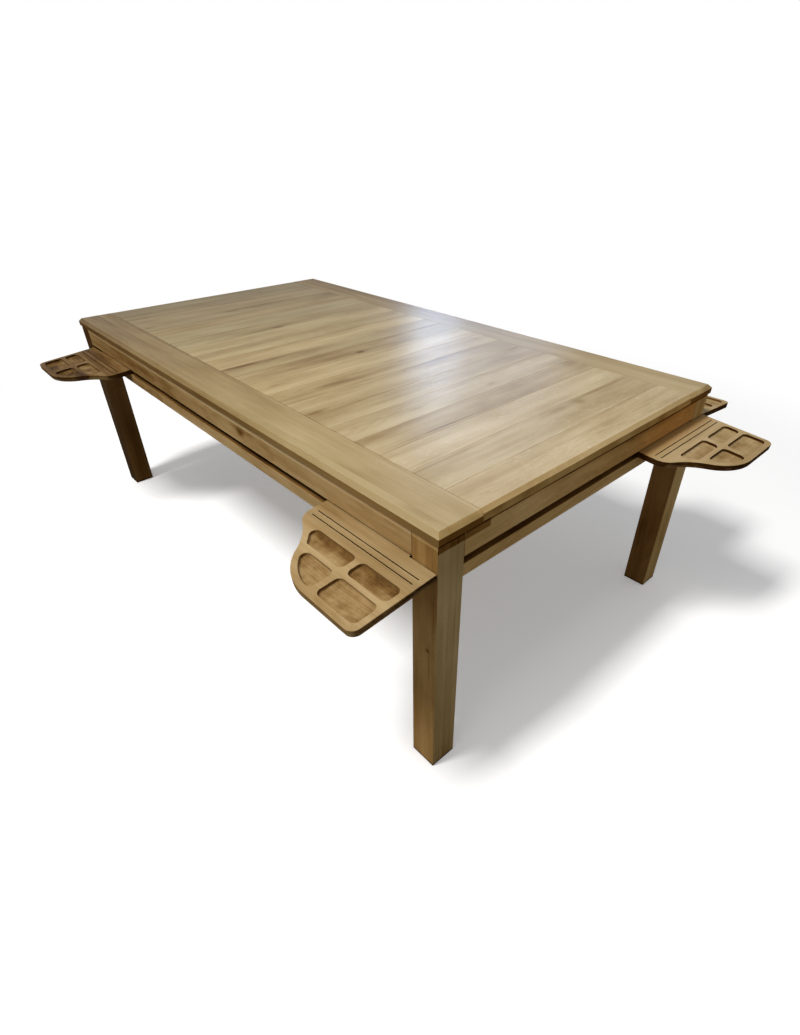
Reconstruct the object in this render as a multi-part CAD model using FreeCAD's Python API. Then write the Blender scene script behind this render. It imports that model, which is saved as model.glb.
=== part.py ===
import FreeCAD, Part
import math
import os

# Mahjong and board game table: four legs, a frame with a slot all round for plug-in tile trays,
# a sunken playing well and a lift-off plank topper. Millimetres, +Z up.
# The table is laid out about the middle of its four legs, front at -Y, and every piece is then
# shifted along X, so that the datum is on the floor under the middle of the whole outline.

Vector = FreeCAD.Vector
CENTRE = Vector(0, 0, 0)
X_AXIS = Vector(1, 0, 0)
Y_AXIS = Vector(0, 1, 0)
Z_AXIS = Vector(0, 0, 1)
SAME_PLACE = 1e-4
SAME_DIRECTION = 1e-6

# ---- topper ----
top_length = 2200.0
top_width = 1210.0
top_height = 780.0
top_thickness = 28.0
top_chamfer = 11.0
top_overhang = 4.0
breadboard_width = 134.0
plank_widths = (108.0, 96.0, 114.0, 101.0, 92.0, 110.0, 99.0, 106.0, 95.0, 102.5, 93.0,
                98.0, 112.0, 104.0, 118.0, 96.0, 110.0, 102.0, 111.0, 115.0, 114.5)
narrowest_plank = 40.0
plank_end_setback = 1.5
tongue_thickness = 10.0
tongue_length = 16.0
tongue_gap = 0.5
tongue_end_inset = 20.0
batten_width = 45.0
batten_height = 22.0
batten_clearance = 3.0
batten_screw_spacing = 300.0
batten_screw_bite = 16.0
pad_diameter = 24.0
pad_thickness = 2.0
pads_per_long_side = 5
pads_per_short_side = 3

# ---- legs ----
leg_size = 80.0
leg_edge_radius = 2.5
leg_corner_cut = 17.0
glide_diameter = 50.0
glide_height = 3.0
glide_edge_radius = 1.0
glide_pin_diameter = 8.0
glide_pin_length = 18.0

# ---- aprons and tray slot ----
apron_thickness = 28.0
apron_height = 66.0
slot_height = 22.0
slot_depth = 46.0
rail_height = 35.0
rail_setback = 2.0
slot_back_thickness = 20.0
board_edge_radius = 1.2
fit_gap = 0.2

# ---- playing well ----
floor_thickness = 12.0
mat_thickness = 3.0
mat_gap = 1.0
rim_width = 82.0
rim_thickness = 20.0
rim_edge_radius = 3.0
well_wall_thickness = 18.0
bearer_width = 32.0
bearer_height = 44.0
bearer_count = 3

# ---- corner joints ----
corner_gap = 6.0
corner_block_thickness = 30.0
corner_block_height = 50.0
corner_block_drop = 3.0
bolt_diameter = 8.0
bolt_hole_diameter = 9.0
bolt_depth_in_leg = 42.0
bolt_spacing = 25.0
bolt_end_past_nut = 5.0
washer_diameter = 24.0
washer_thickness = 2.0
nut_across_flats = 13.0
nut_height = 6.5
dowel_diameter = 10.0
thin_dowel_diameter = 8.0
dowel_depth = 22.0
apron_dowel_inset = 16.0
rail_dowel_inset = 12.0
slot_back_dowel_offset = 22.0

# ---- screws ----
screw_diameter = 4.0
screw_head_diameter = 8.0
screw_head_height = 2.5
floor_screw_length = 34.0
floor_screw_spacing = 330.0
floor_screw_end_gap = 90.0
floor_screw_wall_gap = 40.0
block_screw_length = 32.0
block_screw_inset = 12.0

# ---- tile trays ----
tray_thickness = 18.0
tray_length = 394.0
tray_reach = 227.0
tray_corner_radius = 22.0
shoulder_start = 165.0
shoulder_radius = 150.0
waist_radius = 200.0
hip_radius = 50.0
hip_reach = 46.0
tray_tongue = 38.0
tray_leg_gap = 5.0
tray_face_gap = 3.5
tray_slot_play = 0.3
tray_edge_radius = 1.5
groove_width = 3.0
groove_depth = 5.0
groove_inset = 15.0
groove_far_inset = 20.0
groove_reaches = (38.7, 56.6)
pocket_depth = 10.0
pocket_corner_radius = 15.0
pocket_cove_radius = 6.0
pocket_end_margin = 14.0
pocket_curve_margin = 16.0
pocket_outer_margin = 17.0
pocket_column_length = 131.5
pocket_column_gap = 18.5
inner_pocket_start = 82.0
inner_pocket_width = 48.5
pocket_row_gap = 13.5
front_left_tray_shift = 103.0

# ---- what follows from them ----
frame_length = top_length - 2 * top_overhang
frame_width = top_width - 2 * top_overhang
half_length = frame_length / 2
half_width = frame_width / 2
top_underside = top_height - top_thickness
frame_top = top_underside - pad_thickness
slot_top = frame_top - apron_height
slot_bottom = slot_top - slot_height
rail_bottom = slot_bottom - rail_height
floor_top = slot_top + floor_thickness
rim_bottom = frame_top - rim_thickness
rim_inner = apron_thickness + rim_width
slot_back_inner = slot_depth + slot_back_thickness
bolt_level = (rail_bottom + slot_top) / 2
field_half_length = top_length / 2 - plank_end_setback
field_half_width = top_width / 2 - breadboard_width
tongue_middle = top_height - top_thickness / 2


def box(x_range, y_range, z_range):
    """A rectangular block between the given limits."""
    low = Vector(x_range[0], y_range[0], z_range[0])
    return Part.makeBox(x_range[1] - x_range[0], y_range[1] - y_range[0], z_range[1] - z_range[0], low)


def rod(diameter, length, start, direction):
    """A round bar that starts at a point and runs one way."""
    return Part.makeCylinder(diameter / 2, length, start, direction)


def prism(points, height):
    """An upright block on a closed outline of straight lines."""
    return Part.Face(Part.makePolygon(points + [points[0]])).extrude(Vector(0, 0, height))


def runs_along(edge, axis):
    """True for a straight edge that is parallel to an axis."""
    if not isinstance(edge.Curve, Part.Line):
        return False
    return abs(abs(edge.tangentAt(edge.FirstParameter).dot(axis)) - 1) < SAME_DIRECTION


def ease_along(shape, axis, radius):
    """Round every straight edge that runs along an axis."""
    return shape.makeFillet(radius, [edge for edge in shape.Edges if runs_along(edge, axis)])


def edges_at(shape, height, reach=None):
    """The edges that lie at one height, and in front of a reach along Y when one is given."""
    chosen = []
    for edge in shape.Edges:
        bounds = edge.BoundBox
        level = abs(bounds.ZMin - height) < SAME_PLACE and abs(bounds.ZMax - height) < SAME_PLACE
        if level and (reach is None or bounds.YMin > reach):
            chosen.append(edge)
    return chosen


def screw(head, direction, length):
    """A countersunk wood screw whose flat head lies at a point."""
    cone = Part.makeCone(screw_head_diameter / 2, screw_diameter / 2, screw_head_height, head, direction)
    return cone.fuse(rod(screw_diameter, length, head, direction)).removeSplitter()


def even_places(low, high, spacing):
    """Places from one end to the other, no further apart than the spacing."""
    gaps = max(1, math.ceil((high - low) / spacing))
    return [low + (high - low) * step / gaps for step in range(gaps + 1)]


def group(solids):
    return Part.makeCompound(list(solids))


def drilled(board, *fastener_lists):
    """A board with the holes that its fasteners fill."""
    tools = [solid for fasteners in fastener_lists for solid in fasteners]
    near = [solid for solid in tools if solid.BoundBox.intersect(board.BoundBox)]
    return board.cut(group(near)) if near else board


CORNERS = {"front_left": (-1, -1), "front_right": (1, -1), "back_left": (-1, 1), "back_right": (1, 1)}


def at_corner(shape, corner):
    """A copy of a piece of the back right corner, mirrored into another corner."""
    side_x, side_y = CORNERS[corner]
    if side_x < 0:
        shape = shape.mirror(CENTRE, X_AXIS)
    if side_y < 0:
        shape = shape.mirror(CENTRE, Y_AXIS)
    return shape


def at_all_corners(solids):
    return [at_corner(solid, corner) for corner in CORNERS for solid in solids]


def inward(from_right, from_back, height):
    """A point given by its distances from the frame's right and back faces."""
    return Vector(half_length - from_right, half_width - from_back, height)


# Each side: the turn that brings its outward direction from +Y, and half its length between legs.
SIDES = {
    "front": (180, half_width, half_length - leg_size),
    "back": (0, half_width, half_length - leg_size),
    "left": (90, half_length, half_width - leg_size),
    "right": (-90, half_length, half_width - leg_size),
}


def side_board(side, depth_range, z_range, half_span):
    """A board along one side; depths count inwards from the frame's outer face."""
    turn, face, _ = SIDES[side]
    board = box((-half_span, half_span), (face - depth_range[1], face - depth_range[0]), z_range)
    board = ease_along(board, X_AXIS, board_edge_radius)
    board.rotate(CENTRE, Z_AXIS, turn)
    return board


# ---- fasteners of the frame ----

def corner_dowels(depth, height, diameter):
    """Two dowels from the back right leg, one into its long side and one into its short side."""
    length = 2 * dowel_depth
    into_long = rod(diameter, length, inward(leg_size - dowel_depth, depth, height), X_AXIS.negative())
    into_short = rod(diameter, length, inward(depth, leg_size - dowel_depth, height), Y_AXIS.negative())
    return into_long, into_short


def apron_dowels():
    dowels = []
    for height in (slot_top + apron_dowel_inset, frame_top - apron_dowel_inset):
        dowels.extend(corner_dowels(apron_thickness / 2, height, dowel_diameter))
    return at_all_corners(dowels)


def rail_dowels():
    dowels = []
    level = slot_bottom - rail_height / 2
    for depth in (rail_setback + rail_dowel_inset, slot_depth - rail_dowel_inset):
        dowels.extend(corner_dowels(depth, level, thin_dowel_diameter))
    return at_all_corners(dowels)


def slot_back_dowels():
    """One dowel a joint, high on the short sides, so that all pass the corner bolts."""
    depth = slot_depth + slot_back_thickness / 2
    into_long, _ = corner_dowels(depth, bolt_level, thin_dowel_diameter)
    _, into_short = corner_dowels(depth, bolt_level + slot_back_dowel_offset, thin_dowel_diameter)
    return at_all_corners([into_long, into_short])


def bearer_places():
    spacing = 2 * (half_length - slot_back_inner) / (bearer_count + 1)
    return [(place - (bearer_count - 1) / 2) * spacing for place in range(bearer_count)]


def bearer_dowels():
    dowels = []
    start = half_width - slot_back_inner - dowel_depth
    for middle in bearer_places():
        for offset in (-bearer_width / 4, bearer_width / 4):
            foot = Vector(middle + offset, start, slot_top - bearer_height / 2)
            dowel = rod(thin_dowel_diameter, dowel_depth + slot_back_thickness / 2, foot, Y_AXIS)
            dowels.extend([dowel, dowel.mirror(CENTRE, Y_AXIS)])
    return dowels


def floor_screws():
    """Down through the floor into the slot backs of the long sides and into the bearers."""
    screws = []
    edge = half_width - slot_depth - slot_back_thickness / 2
    reach = half_length - leg_size - floor_screw_end_gap
    for along in even_places(-reach, reach, floor_screw_spacing):
        for across in (-edge, edge):
            screws.append(screw(Vector(along, across, floor_top), Z_AXIS.negative(), floor_screw_length))
    inner = half_width - rim_inner - floor_screw_wall_gap
    for middle in bearer_places():
        for across in even_places(-inner, inner, floor_screw_spacing):
            screws.append(screw(Vector(middle, across, floor_top), Z_AXIS.negative(), floor_screw_length))
    return screws


# The corner block crosses the corner at 45 degrees; these are the sums of a point's two distances
# from the frame's outer faces, at the flat on the leg and at the block's two long faces.
leg_flat_sum = 2 * leg_size - leg_corner_cut
block_outer_sum = leg_flat_sum + corner_gap * math.sqrt(2)
block_inner_sum = block_outer_sum + corner_block_thickness * math.sqrt(2)
block_top = slot_top - corner_block_drop
INTO_ROOM = Vector(-1, -1, 0).normalize()


def bolt_heights():
    return (bolt_level - bolt_spacing / 2, bolt_level + bolt_spacing / 2)


def on_diagonal(distance_sum, height):
    return inward(distance_sum / 2, distance_sum / 2, height)


def hanger_bolts():
    start_sum = leg_flat_sum - bolt_depth_in_leg * math.sqrt(2)
    length = bolt_depth_in_leg + corner_gap + corner_block_thickness
    length += washer_thickness + nut_height + bolt_end_past_nut
    bolts = [rod(bolt_diameter, length, on_diagonal(start_sum, height), INTO_ROOM)
             for height in bolt_heights()]
    return at_all_corners(bolts)


def bolt_washers():
    washers = []
    for height in bolt_heights():
        face = on_diagonal(block_inner_sum, height)
        disc = rod(washer_diameter, washer_thickness, face, INTO_ROOM)
        washers.append(disc.cut(rod(bolt_diameter, washer_thickness, face, INTO_ROOM)))
    return at_all_corners(washers)


def bolt_nuts():
    nuts = []
    corner_radius = nut_across_flats / math.sqrt(3)
    for height in bolt_heights():
        face = on_diagonal(block_inner_sum + washer_thickness * math.sqrt(2), height)
        across = Z_AXIS.cross(INTO_ROOM)
        points = []
        for turn in range(6):
            angle = math.radians(60 * turn)
            points.append(face + across * (corner_radius * math.cos(angle))
                          + Z_AXIS * (corner_radius * math.sin(angle)))
        hexagon = Part.Face(Part.makePolygon(points + [points[0]])).extrude(INTO_ROOM * nut_height)
        nuts.append(hexagon.cut(rod(bolt_diameter, nut_height, face, INTO_ROOM)))
    return at_all_corners(nuts)


def block_screws():
    """Two screws through each end of a corner block, square into the slot back behind it."""
    screws = []
    side = block_inner_sum - slot_back_inner - block_screw_inset
    depth = block_inner_sum - side
    for height in bolt_heights():
        screws.append(screw(inward(side, depth, height), Y_AXIS, block_screw_length))
        screws.append(screw(inward(depth, side, height), X_AXIS, block_screw_length))
    return at_all_corners(screws)


# ---- pieces of the frame ----

def leg():
    """The back right leg, with a flat on its inner corner for the bolts."""
    post = box((half_length - leg_size, half_length), (half_width - leg_size, half_width),
               (glide_height, frame_top))
    post = ease_along(post, Z_AXIS, leg_edge_radius)
    cut_points = [inward(leg_size, leg_size - leg_corner_cut, rail_bottom),
                  inward(leg_size + corner_gap, leg_size + corner_gap, rail_bottom),
                  inward(leg_size - leg_corner_cut, leg_size, rail_bottom)]
    return post.cut(prism(cut_points, slot_top - rail_bottom))


def foot_glide():
    """A nylon glide under the back right leg, with the pin that holds it in the leg."""
    middle = inward(leg_size / 2, leg_size / 2, 0)
    disc = rod(glide_diameter, glide_height, middle, Z_AXIS)
    disc = disc.makeFillet(glide_edge_radius, edges_at(disc, 0))
    pin = rod(glide_pin_diameter, glide_height + glide_pin_length, middle, Z_AXIS)
    return disc.fuse(pin).removeSplitter()


def corner_block():
    level = block_top - corner_block_height
    points = [inward(block_outer_sum - slot_back_inner, slot_back_inner, level),
              inward(block_inner_sum - slot_back_inner, slot_back_inner, level),
              inward(slot_back_inner, block_inner_sum - slot_back_inner, level),
              inward(slot_back_inner, block_outer_sum - slot_back_inner, level)]
    block = prism(points, corner_block_height)
    for height in bolt_heights():
        start = on_diagonal(block_outer_sum, height)
        block = block.cut(rod(bolt_hole_diameter, corner_block_thickness, start, INTO_ROOM))
    return block


def leg_spaces(gap):
    """The space that each leg takes up, with a gap round it."""
    post = box((half_length - leg_size - gap, half_length), (half_width - leg_size - gap, half_width),
               (0, frame_top))
    return group(at_all_corners([post]))


def well_floor():
    panel = box((-half_length + apron_thickness, half_length - apron_thickness),
                (-half_width + apron_thickness, half_width - apron_thickness), (slot_top, floor_top))
    return panel.cut(leg_spaces(fit_gap))


def play_mat():
    length = half_length - rim_inner - mat_gap
    width = half_width - rim_inner - mat_gap
    return box((-length, length), (-width, width), (floor_top, floor_top + mat_thickness))


def rim(side):
    """The long rims run past the legs' inner corners; the short rims fit between them."""
    turn, face, _ = SIDES[side]
    is_long = side in ("front", "back")
    half_span = half_length - apron_thickness if is_long else half_width - rim_inner
    board = box((-half_span, half_span), (face - rim_inner, face - apron_thickness), (rim_bottom, frame_top))
    inner_edge = [edge for edge in edges_at(board, frame_top) if edge.BoundBox.YMax < face - apron_thickness]
    board = board.makeFillet(rim_edge_radius, inner_edge)
    board.rotate(CENTRE, Z_AXIS, turn)
    return board.cut(leg_spaces(fit_gap))


def well_wall(side):
    half_span = half_width - rim_inner
    if side in ("front", "back"):
        half_span = half_length - rim_inner + well_wall_thickness
    _, face, _ = SIDES[side]
    wall = box((-half_span, half_span), (face - rim_inner, face - rim_inner + well_wall_thickness),
               (floor_top, rim_bottom))
    wall.rotate(CENTRE, Z_AXIS, SIDES[side][0])
    return wall


def bearer(middle):
    reach = half_width - slot_back_inner
    return box((middle - bearer_width / 2, middle + bearer_width / 2), (-reach, reach),
               (slot_top - bearer_height, slot_top))


# ---- topper ----

def plank_limits():
    """Left and right edges of the planks, laid from the left; the last is ripped to fit."""
    edges = [-field_half_length]
    count = 0
    while field_half_length - edges[-1] > narrowest_plank + plank_widths[count % len(plank_widths)]:
        edges.append(edges[-1] + plank_widths[count % len(plank_widths)])
        count += 1
    edges.append(field_half_length)
    return list(zip(edges[:-1], edges[1:]))


def topper_planks(screws):
    """The planks, each with a tongue at both ends. The tongues stop short of the topper's own ends."""
    planks = []
    tongue_limit = field_half_length - tongue_end_inset
    limits = plank_limits()
    for number, (left, right) in enumerate(limits):
        body = box((left, right), (-field_half_width, field_half_width), (top_underside, top_height))
        outer = None
        if number == 0:
            outer = left
        if number == len(limits) - 1:
            outer = right
        if outer is not None:
            rim_edges = [edge for edge in edges_at(body, top_height)
                         if runs_along(edge, Y_AXIS) and abs(edge.BoundBox.XMin - outer) < SAME_PLACE]
            body = body.makeChamfer(top_chamfer, rim_edges)
        reach = field_half_width + tongue_length
        tongue = box((max(left, -tongue_limit), min(right, tongue_limit)), (-reach, reach),
                     (tongue_middle - tongue_thickness / 2, tongue_middle + tongue_thickness / 2))
        planks.append(drilled(body.fuse(tongue).removeSplitter(), screws))
    return group(planks)


def breadboard(front):
    """The back breadboard, or the front one as its mirror image. Its groove stops short of its ends."""
    board = box((-top_length / 2, top_length / 2), (field_half_width, top_width / 2),
                (top_underside, top_height))
    upper = [edge for edge in edges_at(board, top_height)
             if not (runs_along(edge, X_AXIS) and edge.BoundBox.YMax < top_width / 2 - top_chamfer)]
    board = board.makeChamfer(top_chamfer, upper)
    groove_half = tongue_thickness / 2 + tongue_gap / 2
    groove_limit = field_half_length - tongue_end_inset + tongue_gap
    groove = box((-groove_limit, groove_limit),
                 (field_half_width, field_half_width + tongue_length + tongue_gap),
                 (tongue_middle - groove_half, tongue_middle + groove_half))
    board = board.cut(groove)
    return board.mirror(CENTRE, Y_AXIS) if front else board


def batten(front):
    """A cleat under the planks that drops into the well and keeps the topper in place."""
    outer = half_width - rim_inner - batten_clearance
    half_span = half_length - rim_inner - batten_clearance
    strip = box((-half_span, half_span), (outer - batten_width, outer),
                (top_underside - batten_height, top_underside))
    strip = ease_along(strip, X_AXIS, board_edge_radius)
    return strip.mirror(CENTRE, Y_AXIS) if front else strip


def batten_screws():
    middle = half_width - rim_inner - batten_clearance - batten_width / 2
    reach = half_length - rim_inner - batten_width
    low = top_underside - batten_height
    screws = []
    for along in even_places(-reach, reach, batten_screw_spacing):
        for across in (-middle, middle):
            screws.append(screw(Vector(along, across, low), Z_AXIS, batten_height + batten_screw_bite))
    return screws


def topper_pads():
    pads = []
    side_middle = apron_thickness + rim_width / 2
    reach_x = half_length - leg_size - pad_diameter
    reach_y = half_width - rim_inner - pad_diameter
    for step in range(pads_per_long_side):
        along = reach_x * (2 * step / (pads_per_long_side - 1) - 1)
        for across in (half_width - side_middle, side_middle - half_width):
            pads.append(rod(pad_diameter, pad_thickness, Vector(along, across, frame_top), Z_AXIS))
    for step in range(pads_per_short_side):
        across = reach_y * (2 * step / (pads_per_short_side - 1) - 1)
        for along in (half_length - side_middle, side_middle - half_length):
            pads.append(rod(pad_diameter, pad_thickness, Vector(along, across, frame_top), Z_AXIS))
    return group(pads)


# ---- tile trays ----
# A tray is drawn flat with u along X from its straight end, v along Y outwards from the frame's
# face, and its upper face at zero. Its tongue lies at negative v.

def touching_centre(first, first_radius, second, second_radius, radius):
    """Centre of the circle that touches two circles from outside, on their outer side."""
    apart = second - first
    span = apart.Length
    to_first = first_radius + radius
    to_second = second_radius + radius
    along = (to_first ** 2 - to_second ** 2 + span ** 2) / (2 * span)
    aside = math.sqrt(to_first ** 2 - along ** 2)
    forward = apart * (1 / span)
    return first + forward * along + Z_AXIS.cross(forward) * aside


def arc_between(centre, radius, start, end):
    """The short arc about a centre from one point to another."""
    middle = ((start - centre) + (end - centre)).normalize() * radius + centre
    return Part.Arc(start, middle, end).toShape()


def toward(centre, target, radius):
    """The point at a radius from a centre, on the way to a target."""
    return centre + (target - centre).normalize() * radius


def tray_outline(inset):
    """The board's outline, or the same outline moved inwards by an inset."""
    shoulder = Vector(shoulder_start, tray_reach - shoulder_radius, 0)
    hip = Vector(tray_length - hip_radius, hip_reach, 0)
    waist = touching_centre(shoulder, shoulder_radius, hip, hip_radius, waist_radius)
    corner = Vector(tray_corner_radius, tray_reach - tray_corner_radius, 0)
    step = leg_size + tray_leg_gap
    tongue_end = -tray_tongue + inset
    hip_point = Vector(tray_length - inset, hip_reach, 0)
    hip_to_waist = toward(hip, waist, hip_radius - inset)
    waist_to_shoulder = toward(shoulder, waist, shoulder_radius - inset)
    shoulder_point = Vector(shoulder_start, tray_reach - inset, 0)
    corner_outer = Vector(tray_corner_radius, tray_reach - inset, 0)
    corner_end = Vector(inset, tray_reach - tray_corner_radius, 0)
    straight = [Vector(inset, tray_face_gap + inset, 0), Vector(step + inset, tray_face_gap + inset, 0),
                Vector(step + inset, tongue_end, 0), Vector(tray_length - inset, tongue_end, 0)]
    return Part.Wire([
        Part.makeLine(corner_end, straight[0]),
        Part.makeLine(straight[0], straight[1]),
        Part.makeLine(straight[1], straight[2]),
        Part.makeLine(straight[2], straight[3]),
        Part.makeLine(straight[3], hip_point),
        arc_between(hip, hip_radius - inset, hip_point, hip_to_waist),
        arc_between(waist, waist_radius + inset, hip_to_waist, waist_to_shoulder),
        arc_between(shoulder, shoulder_radius - inset, waist_to_shoulder, shoulder_point),
        Part.makeLine(shoulder_point, corner_outer),
        arc_between(corner, tray_corner_radius - inset, corner_outer, corner_end),
    ])


def tray_pocket(u_range, v_range):
    """The cutter of one pocket: a limit on each side and the tray's own curve, with coved floor."""
    shrink = pocket_corner_radius
    whole = Part.Face(tray_outline(pocket_curve_margin))
    window = Part.makePlane(u_range[1] - u_range[0], v_range[1] - v_range[0],
                            Vector(u_range[0], v_range[0], 0))
    floor = whole.common(window).Faces[0]
    core = Part.Face(floor.OuterWire.makeOffset2D(-shrink))
    rounded = Part.Face(core.OuterWire.makeOffset2D(shrink))
    cutter = rounded.extrude(Vector(0, 0, pocket_depth))
    cutter.translate(Vector(0, 0, -pocket_depth))
    return cutter.makeFillet(pocket_cove_radius, edges_at(cutter, -pocket_depth))


def tray_groove(reach):
    """A narrow slot with round ends that a row of tiles or cards stands in."""
    left = groove_inset + groove_width / 2
    right = tray_length - groove_far_inset - groove_width / 2
    bar = box((left, right), (reach - groove_width / 2, reach + groove_width / 2), (-groove_depth, 0))
    for end in (left, right):
        bar = bar.fuse(rod(groove_width, groove_depth, Vector(end, reach, -groove_depth), Z_AXIS))
    return bar.removeSplitter()


def tray_board():
    board = Part.Face(tray_outline(0)).extrude(Vector(0, 0, tray_thickness))
    board.translate(Vector(0, 0, -tray_thickness))
    free = tray_face_gap + tray_edge_radius
    outer_edges = edges_at(board, 0, free) + edges_at(board, -tray_thickness, free)
    board = board.makeFillet(tray_edge_radius, outer_edges)
    first = (pocket_end_margin, pocket_end_margin + pocket_column_length)
    second = (first[1] + pocket_column_gap, tray_length)
    inner = (inner_pocket_start, inner_pocket_start + inner_pocket_width)
    outer = (inner[1] + pocket_row_gap, tray_reach - pocket_outer_margin)
    for columns in (first, second):
        for rows in (inner, outer):
            board = board.cut(tray_pocket(columns, rows))
    for reach in groove_reaches:
        board = board.cut(tray_groove(reach))
    return board


def tray_droop():
    """Tilt at which the tongue's inner edge meets the slot's top and its underside the rail."""
    free_height = slot_height - 2 * tray_slot_play
    angle = 0.0
    for _ in range(40):
        drop = free_height - tray_thickness / math.cos(angle) + rail_setback * math.tan(angle)
        angle = math.asin(drop / tray_tongue)
    return angle


def seated_tray():
    """A tray as it rests in a slot, with the frame's face at y = 0 and its straight end at x = 0."""
    droop = tray_droop()
    level = slot_bottom + tray_slot_play + tray_thickness / math.cos(droop) - rail_setback * math.tan(droop)
    board = tray_board()
    board.rotate(CENTRE, X_AXIS, -math.degrees(droop))
    board.translate(Vector(0, 0, level))
    return board


# Where each tray sits: the turn and mirror of the seated tray, and the frame corner it starts from.
TRAYS = {
    "tray_front_left": (0, Y_AXIS, Vector(-half_length + front_left_tray_shift, -half_width, 0)),
    "tray_front_right": (180, None, Vector(half_length, -half_width, 0)),
    "tray_right_end": (-90, None, Vector(half_length, half_width, 0)),
    "tray_back_right": (0, X_AXIS, Vector(half_length, half_width, 0)),
}


def placed_tray(name, tray):
    turn, mirror_axis, corner = TRAYS[name]
    placed = tray.mirror(CENTRE, mirror_axis) if mirror_axis else tray.copy()
    placed.rotate(CENTRE, Z_AXIS, turn)
    placed.translate(corner)
    return placed


# ---- the whole table ----

def frame_pieces():
    aprons = apron_dowels()
    rails = rail_dowels()
    backs = slot_back_dowels()
    bearers = bearer_dowels()
    floors = floor_screws()
    blocks = block_screws()
    bolts = hanger_bolts()
    pieces = {}
    back_right_leg = drilled(leg(), aprons, rails, backs, bolts)
    glide = foot_glide()
    back_right_leg = back_right_leg.cut(glide)
    block = drilled(corner_block(), blocks)
    for corner in CORNERS:
        pieces["leg_" + corner] = at_corner(back_right_leg, corner)
        pieces["foot_glide_" + corner] = at_corner(glide, corner)
        pieces["corner_block_" + corner] = at_corner(block, corner)
    for side, (_, _, half_span) in SIDES.items():
        apron = side_board(side, (0, apron_thickness), (slot_top, frame_top), half_span)
        rail = side_board(side, (rail_setback, slot_depth), (rail_bottom, slot_bottom), half_span)
        back = side_board(side, (slot_depth, slot_back_inner), (rail_bottom, slot_top), half_span)
        pieces["apron_" + side] = drilled(apron, aprons)
        pieces["slot_rail_" + side] = drilled(rail, rails)
        pieces["slot_back_" + side] = drilled(back, backs, bearers, floors, blocks)
        pieces["rim_" + side] = rim(side)
        pieces["well_wall_" + side] = well_wall(side)
    for number, middle in enumerate(bearer_places(), start=1):
        pieces["floor_bearer_%d" % number] = drilled(bearer(middle), bearers, floors)
    pieces["well_floor"] = drilled(well_floor(), floors)
    pieces["play_mat"] = play_mat()
    pieces["apron_dowels"] = group(aprons)
    pieces["slot_rail_dowels"] = group(rails)
    pieces["slot_back_dowels"] = group(backs)
    pieces["bearer_dowels"] = group(bearers)
    pieces["floor_screws"] = group(floors)
    pieces["corner_block_screws"] = group(blocks)
    pieces["hanger_bolts"] = group(bolts)
    pieces["bolt_washers"] = group(bolt_washers())
    pieces["bolt_nuts"] = group(bolt_nuts())
    return pieces


def topper_pieces():
    screws = batten_screws()
    return {
        "topper_planks": topper_planks(screws),
        "breadboard_front": breadboard(True),
        "breadboard_back": breadboard(False),
        "topper_batten_front": drilled(batten(True), screws),
        "topper_batten_back": drilled(batten(False), screws),
        "batten_screws": group(screws),
        "topper_pads": topper_pads(),
    }


def write_parts():
    tray = seated_tray()
    pieces = frame_pieces()
    pieces.update(topper_pieces())
    pieces.update({name: placed_tray(name, tray) for name in TRAYS})
    left_end = -top_length / 2
    right_end = pieces["tray_right_end"].BoundBox.XMax
    to_datum = Vector(-(left_end + right_end) / 2, 0, 0)
    os.makedirs("parts", exist_ok=True)
    for name, shape in pieces.items():
        shape.translate(to_datum)
        shape.exportStep("parts/" + name + ".step")


write_parts()
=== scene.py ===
import math
import random

import bmesh
import bpy
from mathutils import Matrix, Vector


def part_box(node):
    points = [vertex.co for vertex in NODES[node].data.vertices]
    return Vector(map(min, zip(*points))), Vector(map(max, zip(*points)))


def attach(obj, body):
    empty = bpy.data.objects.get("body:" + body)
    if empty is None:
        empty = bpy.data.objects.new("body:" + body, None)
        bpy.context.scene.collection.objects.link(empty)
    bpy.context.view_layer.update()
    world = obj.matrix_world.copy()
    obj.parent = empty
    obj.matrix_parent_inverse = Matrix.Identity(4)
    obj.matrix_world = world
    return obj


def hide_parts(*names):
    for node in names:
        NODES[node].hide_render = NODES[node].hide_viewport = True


# Mahjong and board game table: the finishes, planks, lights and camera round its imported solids. Metres.

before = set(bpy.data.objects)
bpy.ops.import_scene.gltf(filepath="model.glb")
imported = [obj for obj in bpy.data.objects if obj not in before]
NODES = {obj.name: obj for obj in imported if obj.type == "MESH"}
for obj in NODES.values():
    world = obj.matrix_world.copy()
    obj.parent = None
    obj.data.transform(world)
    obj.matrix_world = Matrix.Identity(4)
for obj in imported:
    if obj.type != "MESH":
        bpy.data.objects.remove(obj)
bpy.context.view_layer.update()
MM = 0.001

# ---- camera ----
IMAGE_WIDTH = 800
IMAGE_HEIGHT = 1035
SENSOR = 36.0
FOCAL_LENGTH_PIXELS = 570.13
MIDDLE_PIXEL = (416.14, 530.49)
EYE_PLACE = (1.6213, -1.2543, 1.4270)
EYE_TURN_DEGREES = (55.153, 0.081, 47.239)

# ---- light ----
KEY_PLACE = (-0.41, -3.85, 7.7)
KEY_AIM = (-0.10, 0.0, 0.7)
KEY_SIZE = (1.1, 2.2)
KEY_IRRADIANCE = 2.2
KEY_COLOUR = (1.0, 0.97, 0.92)
SKY_FILL = 0.22
SOFTBOX_PLACE = (0.9, -1.2, 2.6)
SOFTBOX_AIM = (0.7, -0.1, 0.7)
SOFTBOX_SIZE = 0.8
SOFTBOX_GLOW = 4.0
SOFTBOX_COLOUR = (1.0, 0.95, 0.87)
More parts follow.
